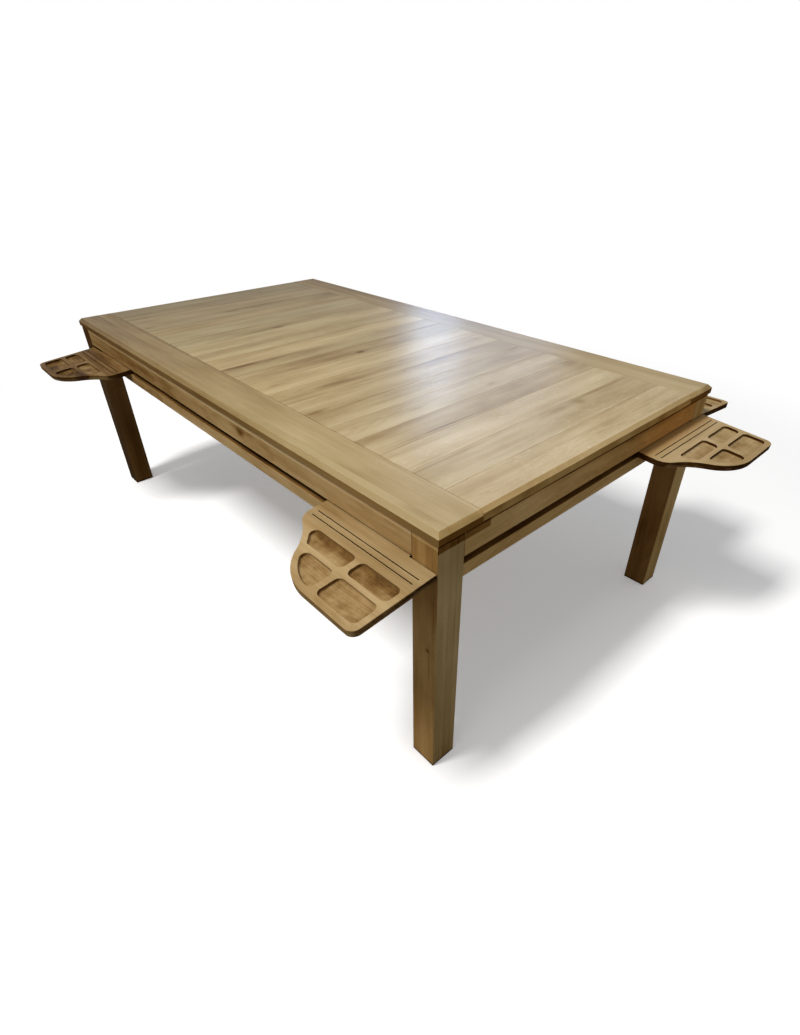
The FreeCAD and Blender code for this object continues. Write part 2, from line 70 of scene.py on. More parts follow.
# The reflections in the top: the left, upper, right and lower pixel of each, its glow and colour.
WINDOW_PIXELS = (412, 325, 454, 430)
WINDOW_GLOW = 24.0
WINDOW_COLOUR = (0.52, 0.68, 0.96)
WALL_PIXELS = (454, 325, 552, 500)
WALL_GLOW = 6.2
WALL_COLOUR = (0.48, 0.64, 0.98)
PANEL_DISTANCE = 6.0
WHITE = (1, 1, 1, 1)
FLOOR_HALF = 60.0
# The floor that is seen: its colour, the white added to it, and how far from the middle it turns
# from keeping the shadow to plain white.
FLOOR_COLOUR = (1.14, 1.16, 1.20, 1)
FLOOR_LIFT = 0.235
FLOOR_TURNS_WHITE = (1.9, 3.2)
# The floor that the light falls on.
FLOOR_BOUNCE = (0.25, 0.25, 0.25, 1)


# ---- shader maths ----

# How far each axis of a pattern moves for a shift of 1.
SHIFT_STEPS = (1, 0.37, -0.71)


class Wire:
    """One output of a node. Maths on it is written as a Python expression."""

    def __init__(self, tree, socket):
        self.tree = tree
        self.socket = socket

    def __add__(self, other):
        return self.tree.maths("ADD", self, other)

    def __sub__(self, other):
        return self.tree.maths("SUBTRACT", self, other)

    def __rsub__(self, other):
        return self.tree.maths("SUBTRACT", other, self)

    def __mul__(self, other):
        return self.tree.maths("MULTIPLY", self, other)

    def __truediv__(self, other):
        return self.tree.maths("DIVIDE", self, other)

    def __rtruediv__(self, other):
        return self.tree.maths("DIVIDE", other, self)

    def __pow__(self, other):
        return self.tree.maths("POWER", self, other)

    def __lt__(self, other):
        return self.tree.maths("LESS_THAN", self, other)

    def __gt__(self, other):
        return self.tree.maths("GREATER_THAN", self, other)

    def __abs__(self):
        return self.tree.maths("ABSOLUTE", self)

    __radd__ = __add__
    __rmul__ = __mul__

    def floor(self):
        return self.tree.maths("FLOOR", self)

    def part(self):
        """What is left after the whole number is taken off."""
        return self.tree.maths("FRACT", self)

    def between(self, start, end):
        """0 at start and 1 at end, smooth between them."""
        return self.tree.node("ShaderNodeMapRange", {"interpolation_type": "SMOOTHSTEP"},
                              {"Value": self, "From Min": start, "From Max": end})


class NodeTree:
    """The node tree of a material or of the world, and the methods that add its nodes."""

    def __init__(self, owner):
        owner.use_nodes = True
        self.nodes = owner.node_tree.nodes
        self.links = owner.node_tree.links
        self.nodes.clear()

    def node(self, kind, settings=None, values=None, output=0):
        """Add a node: first its settings, then its inputs' values or links. Returns one output."""
        made = self.nodes.new(kind)
        for name, value in (settings or {}).items():
            if name == "stops":
                set_stops(made.color_ramp, value)
            else:
                setattr(made, name, value)
        for key, value in (values or {}).items():
            if isinstance(value, Wire):
                self.links.new(value.socket, made.inputs[key])
            else:
                made.inputs[key].default_value = value
        return Wire(self, made.outputs[output]) if made.outputs else made

    def maths(self, operation, *values):
        return self.node("ShaderNodeMath", {"operation": operation}, dict(enumerate(values)))

    def axes(self, vector):
        """The three parts of a vector."""
        split = self.node("ShaderNodeSeparateXYZ", None, {0: vector})
        return [Wire(self, socket) for socket in split.socket.node.outputs]

    def vector(self, *parts):
        return self.node("ShaderNodeCombineXYZ", None, dict(enumerate(parts)))

    def noise(self, vector, waves, shift, detail=2.0, roughness=0.5):
        """Smooth noise about 0.5, with so many waves a metre along each axis. Another shift is another
        pattern.
        """
        shifts = tuple(shift * step for step in SHIFT_STEPS)
        spot = self.node("ShaderNodeVectorMath", {"operation": "MULTIPLY_ADD"},
                         {0: vector, 1: waves, 2: shifts})
        return self.node("ShaderNodeTexNoise", None,
                         {"Vector": spot, "Scale": 1.0, "Detail": detail, "Roughness": roughness})

    def ramp(self, factor, stops):
        return self.node("ShaderNodeValToRGB", {"stops": stops}, {"Fac": factor})

    def blend(self, factor, first, second, way="MIX"):
        """A mix of two colours, which are the node's sockets 6 and 7 and its output 2."""
        return self.node("ShaderNodeMix", {"data_type": "RGBA", "blend_type": way},
                         {0: factor, 6: first, 7: second}, output=2)

    def larger(self, *values):
        return self.maths("MAXIMUM", *values)

    def bump(self, height, depth, strength):
        return self.node("ShaderNodeBump", None,
                         {"Strength": strength, "Distance": depth, "Height": height})


class Finish(NodeTree):
    """A material whose patterns are laid out over the piece's own place and the way its faces look."""

    def __init__(self, name):
        self.material = bpy.data.materials.new(name)
        super().__init__(self.material)
        self.place = self.node("ShaderNodeTexCoord", output="Object")
        self.xyz = self.axes(self.place)
        self.facing = self.axes(self.node("ShaderNodeNewGeometry", output="Normal"))

    def upright(self, start=0.05, end=0.3):
        """1 on upright faces and 0 on level ones."""
        return 1 - abs(self.facing[2]).between(start, end)

    def on_front(self):
        return self.facing[1] < -0.5

    def on_right(self):
        return self.facing[0] > 0.5

    def surface(self, **values):
        """The Principled shader and the output; keys are its socket names with _ for a space."""
        named = {key.replace("_", " "): value for key, value in values.items()}
        shader = self.node("ShaderNodeBsdfPrincipled", None, named)
        self.node("ShaderNodeOutputMaterial", None, {"Surface": shader})
        return self.material


def set_stops(color_ramp, stops):
    """Give a ramp its (place, colour) stops; a new ramp starts with two."""
    while len(color_ramp.elements) < len(stops):
        color_ramp.elements.new(1.0)
    for element, (place, colour) in zip(color_ramp.elements, stops):
        element.position = place
        element.color = colour


def screen(red, green, blue):
    """A colour as it looks on a screen, 0 to 255, turned into the renderer's linear one."""
    linear = []
    for value in (red, green, blue):
        share = value / 255
        linear.append(share / 12.92 if share <= 0.04045 else ((share + 0.055) / 1.055) ** 2.4)
    return (*linear, 1.0)


def tinted(colour, tint):
    """A colour multiplied by a tint."""
    return tuple(value * share for value, share in zip(colour, (*tint, 1.0)))


# ---- wood ----

OAK = ((0.00, screen(208, 190, 150)), (0.28, screen(187, 167, 124)), (0.52, screen(163, 140, 96)),
       (0.76, screen(124, 96, 54)), (1.00, screen(64, 41, 18)))
EDGE_ROUGHNESS = 0.5
GLUE_HALF_WIDTH = 1.0 * MM
RING_PITCH = (3.0 * MM, 4.8 * MM)
# How far the pith wanders across the board and into it, and how much it may lean along it.
PITH_WANDER = 0.06
PITH_SWAY = 0.05
PITH_LEAN = 0.011
# By how many rings the rings crowd and spread.
RING_CROWDING = 3.2
# Between which shares of a ring its dark late wood grows, and between which it ends.
LATE_GROWS = (0.10, 0.90)
LATE_ENDS = (0.91, 1.0)
# How far a glued strip's own number moves its pattern along each axis, and its place in the log.
STRIP_STEPS = (3.1, 1.7, 5.3)
STRIP_SPREAD = 0.05

# Waves a metre of the patterns in the wood: across the board, into it and along the grain.
WANDER_WAVES = (2.2, 2.2, 1.3)
SWAY_WAVES = (3.0, 3.0, 1.9)
SPOT_WAVES = (60, 60, 10)
CROWDING_WAVES = (30, 30, 2.2)
FIBRE_WAVES = (170, 170, 4.5)
BAND_WAVES = (21, 21, 1.5)
CLOUD_WAVES = (9, 9, 3.6)
VESSEL_WAVES = (1100, 1100, 42)
FLECK_WAVES = (110, 40, 45)
FLECKED_WAVES = (14, 14, 3)

# How much each pattern darkens the wood.
FIBRE_SHADE = 0.22
BAND_SHADE = 0.64
CLOUD_SHADE = 0.56
PORE_SHADE = 0.10
GLUE_SHADE = 0.10


def glued_strips(finish, across, staves, rng):
    """Strips glued side by side: a number of each strip's own, and the tone of strips and glue."""
    width, offset, tone = staves
    strip = across / width + offset
    own = finish.node("ShaderNodeTexWhiteNoise", {"noise_dimensions": "3D"},
                      {"Vector": finish.vector(strip.floor(), 0, rng.uniform(0, 9))}, output="Value")
    glue_line = abs(strip.part() - 0.5).between(0.5 - GLUE_HALF_WIDTH / width, 0.5)
    return own, (own - 0.5) * tone + glue_line * GLUE_SHADE


def pith_place(width, flat_sawn, rng):
    """Where the middle of the log lies, across and into the board: above or below a flat-sawn board,
    and off the side of a quarter-sawn one.
    """
    if flat_sawn is None:
        flat_sawn = rng.random() < 0.5
    if flat_sawn:
        return rng.uniform(-0.3, 0.3) * width, rng.choice((-1, 1)) * rng.uniform(0.035, 0.09)
    return rng.choice((-1, 1)) * rng.uniform(0.07, 0.16), rng.uniform(-0.06, 0.06)


def marked(radius, parts, marks, spots):
    """The rings' radius, pushed out round the knots, and how dark knots and streaks are. A knot is a
    mark that is short for its width.
    """
    darkness = 0
    for mark_across, mark_along, half_width, half_length, strength in marks:
        off_side = (parts[0] - mark_across) / half_width
        off_run = (parts[2] - mark_along) / half_length
        distance = (off_side * off_side + off_run * off_run) * (1.9 - spots * 1.8)
        if half_length < 3 * half_width:
            radius = radius + 1.6 * half_width / (1 + distance * distance * 0.3)
        darkness = darkness + (1 / (1 + distance ** 1.6)) * strength
    return radius, darkness


def wood(name, span, run, seed, tint=(1, 1, 1), base=0.38, rings=0.08, streaks=1.0, flat_sawn=None,
         staves=None, marks=(), flecks=0.0, roughness=0.32, gloss=0.03, end_grain=0.20, heart=0.0,
         change=None, stain_and_painted_light=None):
    """Solid wood cut from a log: growth rings round a pith that lies off the board.

    span is the board's box, run the axis of its grain. base is how dark it is, from 0 to 1. rings,
    streaks, flecks and end_grain are how much the growth rings, the streaks along the grain, the pale
    ray flecks and the ends' darkness show. staves are (width, offset, tone) of strips glued side by
    side. marks are (across, along, half width, half length, darkness) of knots and dark streaks,
    measured from the board's middle. heart is how much darker one long edge is than the other. change
    gets the finish and the shade, and returns the shade it makes of it, with painted light and shade.
    The last argument gets the finish, and returns an amount and a colour laid over the wood: stains,
    painted light and painted shade.
    """
    finish = Finish(name)
    rng = random.Random(seed)
    low, high = span
    others = [axis for axis in range(3) if axis != run]
    across_axis, depth_axis = sorted(others, key=lambda axis: low[axis] - high[axis])
    parts = [finish.xyz[axis] - (low[axis] + high[axis]) / 2 for axis in (across_axis, depth_axis, run)]
    width = high[across_axis] - low[across_axis]
    grain = finish.vector(*parts)
    across, depth, along = parts
    strip_tone = 0
    if staves:
        own, strip_tone = glued_strips(finish, across, staves, rng)
        grain = finish.vector(*[part + own * step for part, step in zip(parts, STRIP_STEPS)])
        across = across + (own - 0.5) * STRIP_SPREAD
    pith = pith_place(width, flat_sawn, rng)
    # Each pattern below has a shift of its own, so that no two line up.
    shift = rng.uniform(0, 40)
    wander = finish.noise(grain, WANDER_WAVES, shift, 1.0)
    sway = finish.noise(grain, SWAY_WAVES, shift + 7, 1.0)
    lean = rng.uniform(-PITH_LEAN, PITH_LEAN)
    side = across - pith[0] + (wander - 0.5) * PITH_WANDER
    rise = depth - pith[1] + along * lean + (sway - 0.5) * PITH_SWAY
    radius = (side * side + rise * rise) ** 0.5
    spots = finish.noise(grain, SPOT_WAVES, shift + 43, 2.0)
    radius, darkness = marked(radius, parts, marks, spots)
    pitch = rng.uniform(*RING_PITCH)
    crowding = finish.noise(grain, CROWDING_WAVES, shift + 13, 3.0, 0.6)
    phase = radius / pitch + (crowding - 0.5) * RING_CROWDING
    ring = phase.part()
    late = ring.between(*LATE_GROWS) * (1 - ring.between(*LATE_ENDS))
    fibres = finish.noise(grain, FIBRE_WAVES, shift + 19, 3.0, 0.65)
    bands = finish.noise(grain, BAND_WAVES, shift + 23, 2.0, 0.5)
    clouds = finish.noise(grain, CLOUD_WAVES, shift + 29, 3.0, 0.6)
    vessels = finish.noise(grain, VESSEL_WAVES, shift + 31, 1.0)
    pores = vessels.between(0.60, 0.74) * (1 - 0.75 * ring.between(0.35, 0.8))
    shade = (base + (late - 0.4) * rings + (fibres - 0.5) * (FIBRE_SHADE * streaks)
             + (bands - 0.5) * (BAND_SHADE * streaks) + (clouds - 0.5) * (CLOUD_SHADE * streaks)
             + pores * PORE_SHADE + strip_tone + darkness - across * (heart / width))
    if flecks:
        rays = finish.noise(grain, FLECK_WAVES, shift + 37, 2.0)
        flecked = finish.noise(grain, FLECKED_WAVES, shift + 41, 1.0)
        shade = shade - rays.between(0.54, 0.66) * flecked.between(0.40, 0.6) * flecks
    shade = shade + abs(finish.facing[run]).between(0.6, 0.95) * end_grain
    if change:
        shade = change(finish, shade)
    colour = finish.ramp(shade, [(place, tinted(colour, tint)) for place, colour in OAK])
    if stain_and_painted_light:
        amount, stain_colour = stain_and_painted_light(finish)
        colour = finish.blend(amount, colour, stain_colour, "MULTIPLY")
    relief = late * 0.35 + fibres * 0.5 - pores
    sawn = finish.upright(0.05, 0.4) * EDGE_ROUGHNESS
    return finish.surface(Base_Color=colour,
                          Roughness=roughness + (fibres - 0.5) * 0.16 + pores * 0.12 + sawn,
                          Normal=finish.bump(relief, 0.08 * MM, 0.6), Specular_IOR_Level=gloss)


# ---- other finishes ----

def cloth(name, colour, nap_colour, seed):
    """Short-napped cloth: a fine twill under a fuzzy nap."""
    finish = Finish(name)
    nap = finish.noise(finish.place, (900, 900, 900), seed, 2.0, 0.7)
    patches = finish.noise(finish.place, (7, 7, 7), seed + 5, 2.0)
    x, y, _ = finish.xyz
    twill = abs(((x + y) / (1.6 * MM)).part() - 0.5) * 2
    blend = (nap - 0.5) * 1.4 + (patches - 0.5) * 0.9 + twill * 0.25 + 0.35
    colour = finish.blend(blend.between(0, 1), colour, nap_colour)
    return finish.surface(Base_Color=colour, Roughness=0.94, Sheen_Weight=0.35, Sheen_Roughness=0.5,
                          Specular_IOR_Level=0.2, Normal=finish.bump(nap + twill * 0.5, 0.25 * MM, 0.7))


def plywood(name, seed):
    """Birch plywood: a pale face veneer, and light and dark plies that show at the edges."""
    finish = Finish(name)
    z = finish.xyz[2]
    figure = finish.noise(finish.place, (1.1, 17, 1), seed, 3.0, 0.6)
    fine = finish.noise(finish.place, (6, 240, 6), seed + 3, 2.0, 0.6)
    ply = (z / (1.5 * MM)).part() > 0.5
    shade = (figure - 0.5) * 1.3 + (fine - 0.5) * 0.5 + 0.45
    face = finish.ramp(shade, ((0.0, screen(224, 203, 164)), (0.5, screen(206, 181, 138)),
                               (1.0, screen(178, 146, 100))))
    edge = finish.blend(ply, screen(214, 188, 142), screen(156, 118, 76))
    colour = finish.blend(abs(finish.facing[2]).between(0.5, 0.7), edge, face)
    return finish.surface(Base_Color=colour, Roughness=0.62 + (fine - 0.5) * 0.3,
                          Normal=finish.bump(fine, 0.08 * MM, 0.5))


def zinc(name, seed):
    """Zinc-plated steel: fine brushing, with a faint blue and yellow cast."""
    finish = Finish(name)
    brush = finish.noise(finish.place, (700, 700, 2600), seed, 2.0, 0.7)
    cast = finish.noise(finish.place, (160, 160, 160), seed + 4, 2.0)
    colour = finish.blend(cast.between(0.35, 0.65), screen(188, 194, 200), screen(204, 198, 178))
    return finish.surface(Base_Color=colour, Metallic=1.0, Roughness=0.26 + brush * 0.24,
                          Normal=finish.bump(brush, 0.03 * MM, 0.5))


def nylon(name, seed):
    """Moulded nylon with a fine matt skin and a few scuffs."""
    finish = Finish(name)
    skin = finish.noise(finish.place, (1400, 1400, 1400), seed, 2.0)
    scuffs = finish.noise(finish.place, (60, 420, 60), seed + 2, 3.0, 0.7)
    colour = finish.blend(scuffs.between(0.55, 0.75), screen(62, 55, 49), screen(96, 88, 80))
    return finish.surface(Base_Color=colour, Roughness=0.5 + (skin - 0.5) * 0.3,
                          Normal=finish.bump(skin, 0.05 * MM, 0.6))


# ---- planks of the topper ----

PLANK_GAP = 0.12 * MM
PLANK_EASE = 0.6 * MM
TRAY_EASE = 0.7 * MM
TINY = 0.01 * MM


def places(node, axis, keep):
    """The different places along an axis of the node's corners that keep says yes to."""
    found = {round(vertex.co[axis], 5) for vertex in node.data.vertices if keep(vertex.co)}
    return sorted(found)


def plank_profile(shoulder, end, levels):
    """A plank's outline seen from its side, as (y, z) corners, with a tongue from shoulder to end."""
    bottom, tongue_low, tongue_high, top = levels
    half = [(shoulder, bottom), (shoulder, tongue_low), (end, tongue_low),
            (end, tongue_high), (shoulder, tongue_high), (shoulder, top)]
    return half + [(-y, z) for y, z in reversed(half)]


def plank_mesh(name, sections, chamfers):
    """A plank through (place along X, profile) sections. chamfers are (place, depth) of outer edges."""
    mesh = bpy.data.meshes.new(name)
    work = bmesh.new()
    rings = [[work.verts.new((place, y, z)) for y, z in profile] for place, profile in sections]
    work.faces.new(rings[0])
    work.faces.new(list(reversed(rings[-1])))
    for near, far in zip(rings[:-1], rings[1:]):
        for index in range(len(near)):
            after = (index + 1) % len(near)
            work.faces.new((near[index], far[index], far[after], near[after]))
    bmesh.ops.remove_doubles(work, verts=work.verts, dist=TINY)
    bmesh.ops.recalc_face_normals(work, faces=work.faces)
    top = max(vertex.co.z for vertex in work.verts)
    for place, depth in chamfers:
        outer = [edge for edge in work.edges
                 if all(abs(v.co.x - place) < TINY and abs(v.co.z - top) < TINY for v in edge.verts)]
        bmesh.ops.bevel(work, geom=outer, offset=depth, segments=1, affect="EDGES")
    work.to_mesh(mesh)
    work.free()
    return mesh


def ease_arrises(piece, radius, weld=False):
    """Round a piece's arrises a little, as sandpaper does."""
    if weld:
        piece.modifiers.new("weld", "WELD").merge_threshold = TINY
    bevel = piece.modifiers.new("ease", "BEVEL")
    bevel.width = radius
    bevel.segments = 2
    bevel.limit_method = "ANGLE"
    bevel.angle_limit = math.radians(30)
    bevel.harden_normals = True


def build_planks():
    """The planks one by one, between the joints that the solid planks have."""
    node = NODES["topper_planks"]
    low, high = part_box("topper_planks")
    on_top = places(node, 0, lambda co: co.z > high.z - TINY)
    joints = [low.x] + on_top[1:-1] + [high.x]
    chamfer = on_top[0] - low.x
    tongue_start = places(node, 0, lambda co: co.y > high.y - TINY)[0]
    tongue_levels = places(node, 2, lambda co: co.y > high.y - TINY)
    shoulder = places(node, 1, lambda co: co.z > high.z - TINY)[-1]
    levels = (low.z, *tongue_levels, high.z)
    plain = plank_profile(shoulder, shoulder, levels)
    tongued = plank_profile(shoulder, high.y, levels)
    planks = []
    last = len(joints) - 2
    for number, (left, right) in enumerate(zip(joints[:-1], joints[1:])):
        start = left if number == 0 else left + PLANK_GAP / 2
        end = right if number == last else right - PLANK_GAP / 2
        sections = [(start, tongued), (end, tongued)]
        chamfers = []
        if number == 0:
            sections = [(start, plain), (tongue_start, plain), (tongue_start, tongued), (end, tongued)]
            chamfers.append((start, chamfer))
        if number == last:
            tongue_end = high.x - (tongue_start - low.x)
            sections = [(start, tongued), (tongue_end, tongued), (tongue_end, plain), (end, plain)]
            chamfers.append((end, chamfer))
        name = "plank_%02d" % (number + 1)
        piece = bpy.data.objects.new(name, plank_mesh(name, sections, chamfers))
        bpy.context.scene.collection.objects.link(piece)
        ease_arrises(piece, PLANK_EASE)
        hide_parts("topper_planks")
        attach(piece, "topper")
        planks.append((piece, (Vector((start, low.y, low.z)), Vector((end, high.y, high.z)))))
    return planks


# ---- giving the pieces their finishes ----

def dress(piece, material):
    """Give a piece one material, on all of its faces."""
    if piece.material_slots:
        for slot in piece.material_slots:
            slot.material = material
    else:
        piece.data.materials.append(material)
    return piece


def nodes_named(*starts):
    return [name for name in sorted(NODES) if name.startswith(starts)]


def wood_run(name):
    """The grain runs along the longest side of the node's box."""
    low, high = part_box(name)
    size = high - low
    return max(range(3), key=lambda axis: size[axis])


SIDE_JOINT_WIDTH = 1.6 * MM
END_JOINT_WIDTH = 2.6 * MM
JOINT_SHADE = 0.30


def joint_shade(span, end):
    """A fine dark line where a plank meets its neighbours and the breadboards."""
    low, high = span
    half = (high.x - low.x) / 2

    def change(finish, shade):
        off_side = abs(finish.xyz[0] - (low.x + high.x) / 2)
        off_end = abs(finish.xyz[1])
        wear = finish.noise(finish.place, (40, 9, 1), low.x * 90, 2.0).between(0.35, 0.65)
        return (shade + off_side.between(half - SIDE_JOINT_WIDTH, half) * wear * JOINT_SHADE
                + off_end.between(end - END_JOINT_WIDTH, end) * JOINT_SHADE)
    return change


# Planks that stand out, counted from the left end.
PALE_PLANKS = (6, 8, 10, 19)
BROWN_PLANKS = (2, 7, 11, 12, 18)
CURLY_PLANKS = (19, 20, 21)
PLANK_STEP = 0.09
CURL_FLECKS = 0.09

# Knots, dark streaks and gum lines in the top: x, y, half width, half length along Y, and darkness.
TOP_MARKS = (
    (-0.951, -0.409, 0.012, 0.050, 0.12), (-0.870, -0.063, 0.026, 0.034, 0.15),
    (-0.856, 0.452, 0.020, 0.045, 0.17), (-0.850, -0.447, 0.012, 0.022, 0.22),
    (-0.701, 0.312, 0.012, 0.040, 0.11), (-0.510, -0.050, 0.010, 0.022, 0.27),
    (-0.520, -0.120, 0.020, 0.090, 0.09), (-0.179, -0.400, 0.015, 0.085, 0.42),
    (-0.178, -0.240, 0.012, 0.080, 0.20), (-0.176, -0.100, 0.020, 0.080, 0.14),
    (-0.027, -0.005, 0.011, 0.015, 0.33), (-0.030, -0.120, 0.012, 0.130, 0.11),
    (0.056, -0.409, 0.008, 0.020, 0.15), (0.166, -0.262, 0.012, 0.060, 0.20),
    (0.180, -0.420, 0.008, 0.060, 0.14), (0.318, -0.440, 0.013, 0.034, 0.22),
    (0.322, 0.440, 0.004, 0.030, 0.22), (0.490, -0.204, 0.004, 0.024, 0.18),
    (0.503, 0.098, 0.010, 0.018, 0.18), (0.548, 0.440, 0.034, 0.028, 0.20),
    (0.628, -0.190, 0.0025, 0.110, 0.26), (0.762, 0.330, 0.006, 0.170, 0.26),
    (0.776, 0.178, 0.014, 0.018, 0.26), (0.772, 0.080, 0.010, 0.060, 0.15),
    (0.764, -0.380, 0.0028, 0.130, 0.22), (-0.102, 0.410, 0.0025, 0.080, 0.38),
)


def marks_within(span):
    """The marks that fall on one plank, from its middle."""
    low, high = span
    middle = (low.x + high.x) / 2
    return [(x - middle, *rest) for x, *rest in TOP_MARKS if low.x <= x < high.x]


def plank_tint_and_painted_shade(share, rng):
    """Paler and less yellow towards the right end, where share is 1: painted shade on the left end."""
    tone = 0.425 + 0.605 * (1 - (1 - share) ** 2) + 0.04 * share ** 2 + rng.uniform(-0.03, 0.03)
    warm = rng.uniform(-0.012, 0.018)
    green = 0.96 + 0.05 * share
    blue = 0.88 + 0.14 * share + 0.14 * share ** 2
    return tone * 0.98 + warm, tone * green, (tone - warm) * blue


def dress_planks():
    """Each plank has its own grain and tone."""
    rng = random.Random(11)
    planks = build_planks()
    end = -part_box("breadboard_front")[1].y
    for number, (piece, span) in enumerate(planks, start=1):
        # The tint carries painted shade: the planks darken towards the left end.
        tint = plank_tint_and_painted_shade(number / len(planks), rng)
        base = rng.uniform(0.31, 0.39)
        if number in PALE_PLANKS:
            base -= PLANK_STEP
        if number in BROWN_PLANKS:
            base += PLANK_STEP
        dress(piece, wood("wood_" + piece.name, span, 1, 100 + number, base=base, tint=tint,
                          marks=marks_within(span), heart=rng.uniform(0.02, 0.18),
                          flecks=CURL_FLECKS if number in CURLY_PLANKS else 0,
                          change=joint_shade(span, end), stain_and_painted_light=side_stain_and_painted_light))


CHAMFER_STAIN = (0.95, 0.84, 0.65, 1)
# The planks' upright ends: a warmer brown, with red raised as painted light where little light falls.
PLANK_END_STAIN_AND_PAINTED_LIGHT = (1.16, 0.90, 0.50, 1)
BREADBOARD_END_STAIN = (0.52, 0.31, 0.11, 1)
BREADBOARD_SIDE_STAIN = (0.66, 0.54, 0.38, 1)
# The left end's dull tint is painted shade.
LEFT_END_PAINTED_SHADE = (0.79, 0.78, 0.68, 1)
# Along X: where the breadboards' painted shade of the left end fades, and where their dark sides start.
LEFT_PAINTED_SHADE_FADES = (-1.3, 1.1)
LEFT_PAINTED_TINT_FADES = (-1.3, 0.9)
RIGHT_SIDE_STARTS = (0.7, 1.0)
# Painted shade at the left end and on the front edge; the right sides are darker.
LEFT_PAINTED_SHADE = 0.34
RIGHT_SIDE_SHADE = 0.16
FRONT_EDGE_PAINTED_SHADE = 0.10


def side_stain_and_painted_light(finish):
    """The chamfer is a warmer yellow, and the upright side below it a warmer brown with painted light."""
    across = abs(finish.facing[0])
    return across > 0.3, finish.blend(across > 0.9, CHAMFER_STAIN, PLANK_END_STAIN_AND_PAINTED_LIGHT)


def breadboard_shade(finish, shade):
    """Painted shade at the left end and on the front edge; darker upright sides by the right end."""
    front_edge = finish.facing[1].between(-0.2, -0.6)
    along_side = finish.upright() * (1 - abs(finish.facing[0]).between(0.2, 0.6))
    left_end = 1 - finish.xyz[0].between(*LEFT_PAINTED_SHADE_FADES)
    right_end = finish.xyz[0].between(*RIGHT_SIDE_STARTS)
    return (shade + left_end * LEFT_PAINTED_SHADE + along_side * right_end * RIGHT_SIDE_SHADE
            + front_edge * FRONT_EDGE_PAINTED_SHADE)


def breadboard_stain_and_painted_shade(finish):
    """Painted shade, duller, towards the left end; a warmer brown on the upright sides and the right end.
    """
    right = finish.facing[0]
    side = abs(finish.facing[1]) > 0.9
    colour = finish.blend(right > 0.9, CHAMFER_STAIN, BREADBOARD_END_STAIN)
    colour = finish.blend(right > 0.3, LEFT_END_PAINTED_SHADE, colour)
    colour = finish.blend(side, colour, BREADBOARD_SIDE_STAIN)
    left_end = 1 - finish.xyz[0].between(*LEFT_PAINTED_TINT_FADES)
    return finish.larger(left_end, finish.larger(right > 0.3, side)), colour


BREADBOARD_STAVES = (0.0445, 0.74, 0.10)
BREADBOARD_TINT = (0.97, 0.98, 1.03)
BREADBOARD_MARKS = {"breadboard_front": ((-0.037, 1.020, 0.009, 0.060, 0.15),
                                         (-0.030, 0.760, 0.006, 0.060, 0.10))}


def dress_breadboards():
    for seed, name in enumerate(("breadboard_front", "breadboard_back")):
        ease_arrises(NODES[name], PLANK_EASE, weld=True)
        dress(NODES[name], wood("wood_" + name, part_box(name), 0, 200 + seed, rings=0.06, base=0.34,
                                tint=BREADBOARD_TINT, streaks=0.6, flat_sawn=False, end_grain=0.06,
                                staves=BREADBOARD_STAVES, marks=BREADBOARD_MARKS.get(name, ()),
                                change=breadboard_shade, stain_and_painted_light=breadboard_stain_and_painted_shade))


# A leg's glue lines, as shares of its width, and the step in shade at each.
LAMINATIONS = ((0.47, 0.05), (0.76, -0.10))
# How far from its middle a glue line starts to fade and is gone, as shares too.
LEG_GLUE_FADES = (0.002, 0.016)
LEG_GLUE_SHADE = 0.20
# Each leg's tint carries painted light and shade: the front left leg is darkened as if in shadow,
# and the back right one brightened where little light falls on it.
LEG_TINT_AND_PAINTED_LIGHT = {"leg_front_left": (0.40, 0.26, 0.15), "leg_front_right": (1.10, 1.00, 0.86),
            "leg_back_left": (0.72, 0.58, 0.40), "leg_back_right": (1.45, 1.24, 0.94)}
# Heights where a leg's painted light starts and ends, and where its lower and foot painted shade end.
PAINTED_LIGHT_STARTS = (0.22, 0.42)
PAINTED_LIGHT_ENDS = (0.58, 0.70)
PAINTED_SHADE_LOWER_ENDS = (0.45, 0.72)
PAINTED_SHADE_FOOT_ENDS = (4 * MM, 13 * MM)
# Painted shade on the front face, the lower part and the foot; painted light on the paler part.
LEG_FRONT_PAINTED_SHADE = 0.29
LOWER_PAINTED_SHADE = 0.04
LOWER_FRONT_PAINTED_SHADE = -0.26
PAINTED_LIGHT_AMOUNT = -0.26
FOOT_PAINTED_SHADE = 0.50
# How much lower the painted light ends on the front face.
PAINTED_LIGHT_ENDS_LOWER = {"leg_front_right": 0.11}
LEG_MARKS = {"leg_front_right": ((0.012, 0.055, 0.005, 0.005, 0.45), (0.004, 0.090, 0.030, 0.050, 0.16),
                                 (0.018, 0.020, 0.0022, 0.075, 0.30), (0.030, 0.135, 0.006, 0.045, 0.20))}


def leg_glue_and_painted_shade(name):
    """A leg of three glued boards, with painted shade in front and at the foot, and painted light
    between.
    """
    low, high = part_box(name)

    def change(finish, shade):
        across = (finish.xyz[1] - low.y) / (high.y - low.y)
        for share, step in LAMINATIONS:
            glue_line = 1 - abs(across - share).between(*LEG_GLUE_FADES)
            shade = shade + (across > share) * step + glue_line * LEG_GLUE_SHADE
        on_front = finish.on_front()
        height = finish.xyz[2]
        lower = 1 - height.between(*PAINTED_SHADE_LOWER_ENDS)
        pale_end = height + on_front * PAINTED_LIGHT_ENDS_LOWER.get(name, 0)
        pale = height.between(*PAINTED_LIGHT_STARTS) * (1 - pale_end.between(*PAINTED_LIGHT_ENDS))
        foot = 1 - height.between(*PAINTED_SHADE_FOOT_ENDS)
        front_painted_shade = lower * LOWER_FRONT_PAINTED_SHADE + LEG_FRONT_PAINTED_SHADE
        return painted_overhang_shadow(finish, shade + lower * LOWER_PAINTED_SHADE + on_front * front_painted_shade
                              + pale * PAINTED_LIGHT_AMOUNT + foot * FOOT_PAINTED_SHADE)
    return change


